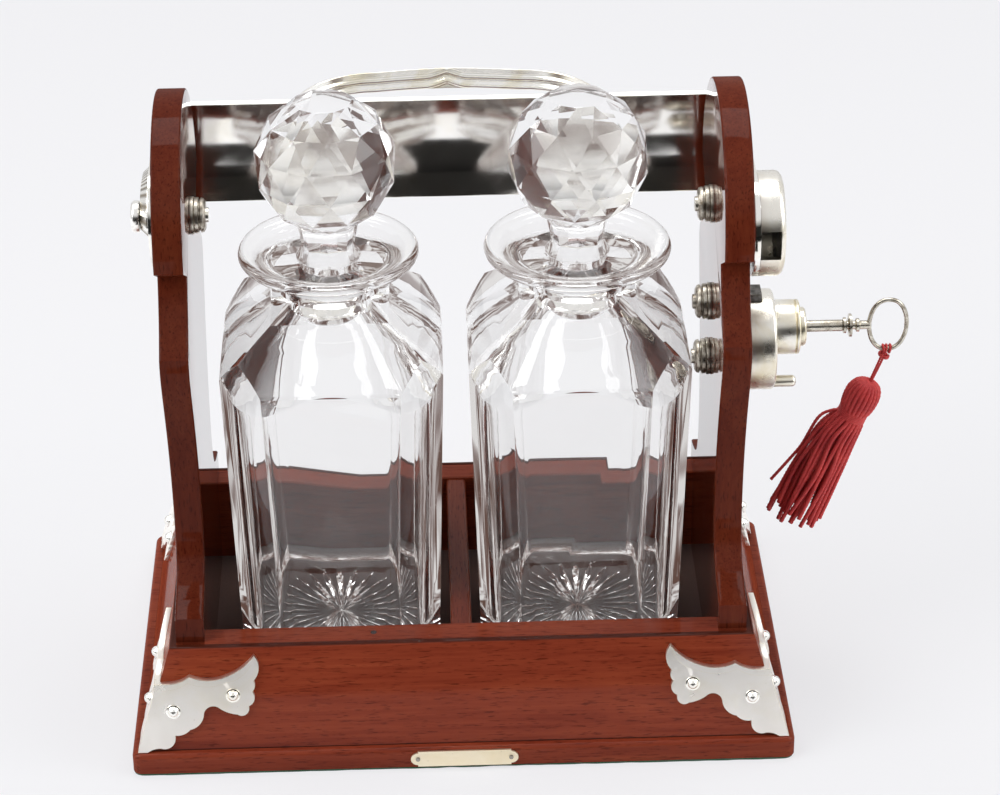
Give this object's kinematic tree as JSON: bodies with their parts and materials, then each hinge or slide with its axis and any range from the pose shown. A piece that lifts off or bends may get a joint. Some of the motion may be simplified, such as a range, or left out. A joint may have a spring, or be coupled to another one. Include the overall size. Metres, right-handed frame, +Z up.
{
  "type": "tantalus",
  "caption": "Mahogany decanter stand with plated mounts; square cut-glass decanters stand in its tray under a swinging yoke handle locked by a side key.",
  "frame": {"origin": "centre of the underside of the base board's baize", "axes": "+X towards the lock and key, +Y towards the back, +Z up"},
  "size_m": [0.3202, 0.2142, 0.2632],
  "materials": {
    "mahogany": "french polished",
    "green_baize": "woven felt",
    "brown_lining": "matt",
    "silver_plate": "polished, lightly tarnished",
    "plated_screw": "polished",
    "dark_brass": "dark with age",
    "dark_steel": "oiled",
    "key_steel": "worn plating",
    "cut_glass": "clear, cut and polished",
    "crimson_silk": "twisted silk cord"
  },
  "bodies": {
    "frame": {"plinth": "mahogany", "front_moulding": "mahogany", "back_moulding": "mahogany", "left_moulding": "mahogany", "right_moulding": "mahogany", "front_rail": "mahogany", "back_rail": "mahogany", "tray_floor": "mahogany", "divider": "mahogany", "left_upright": "mahogany", "right_upright": "mahogany", "baize_pad": "green_baize", "tray_lining": "brown_lining", "front_right_bracket": "silver_plate", "front_left_bracket": "silver_plate", "back_right_bracket": "silver_plate", "back_left_bracket": "silver_plate", "name_plate": "silver_plate", "lock_case": "silver_plate", "lock_barrel": "silver_plate", "lock_collar": "silver_plate", "lock_peg": "silver_plate", "bracket_screws": "plated_screw", "name_plate_pins": "plated_screw", "left_pivot_stud": "plated_screw", "right_pivot_pin": "dark_brass", "pivot_washers": "dark_brass", "pivot_nuts": "dark_brass", "lock_studs": "dark_brass", "lock_washers": "dark_brass", "lock_nuts": "dark_brass"},
    "yoke": {"yoke_band": "silver_plate", "left_arm": "silver_plate", "right_arm": "silver_plate", "left_boss": "silver_plate", "handle": "silver_plate", "hasp_housing": "silver_plate"},
    "bolt": {"lock_bolt": "dark_steel"},
    "key": {"key_bow": "key_steel", "key_shank": "key_steel"},
    "tassel": {"tassel_head": "crimson_silk", "tassel_skirt": "crimson_silk", "tassel_cord": "crimson_silk"},
    "left_bottle": {"left_decanter": "cut_glass"},
    "right_bottle": {"right_decanter": "cut_glass"},
    "left_plug": {"left_stopper": "cut_glass"},
    "right_plug": {"right_stopper": "cut_glass"}
  },
  "joints": [
    {"name": "yoke_swing", "type": "hinge", "parent": "frame", "child": "yoke", "pos_m": [0, 0, 0.2124], "axis": [-1, 0, 0], "range_deg": [-90, 0]},
    {"name": "key_turn", "type": "hinge", "parent": "frame", "child": "key", "pos_m": [0.1578, 0, 0.1556], "axis": [-1, 0, 0], "range_deg": [0, 90]},
    {"name": "bolt_slide", "type": "slide", "parent": "frame", "child": "bolt", "axis": [0, 0, 1], "range_m": [0, 0.00551]},
    {"name": "tassel_hang", "type": "hinge", "parent": "key", "child": "tassel", "pos_m": [0.1766, 0, 0.14425], "axis": [-1, 0, 0], "range_deg": [-90.1, 0]},
    {"name": "left_bottle_lift", "type": "slide", "parent": "frame", "child": "left_bottle", "axis": [0, 0, 1], "range_m": [0, 0.05]},
    {"name": "left_plug_lift", "type": "slide", "parent": "left_bottle", "child": "left_plug", "axis": [0, 0, 1], "range_m": [0, 0.035]},
    {"name": "right_bottle_lift", "type": "slide", "parent": "frame", "child": "right_bottle", "axis": [0, 0, 1], "range_m": [0, 0.05]},
    {"name": "right_plug_lift", "type": "slide", "parent": "right_bottle", "child": "right_plug", "axis": [0, 0, 1], "range_m": [0, 0.035]}
  ],
  "couplings": [
    {"joint": "bolt_slide", "follows": "key_turn", "m_per_rad": 0.0035014},
    {"joint": "tassel_hang", "follows": "key_turn", "ratio": -1}
  ]
}
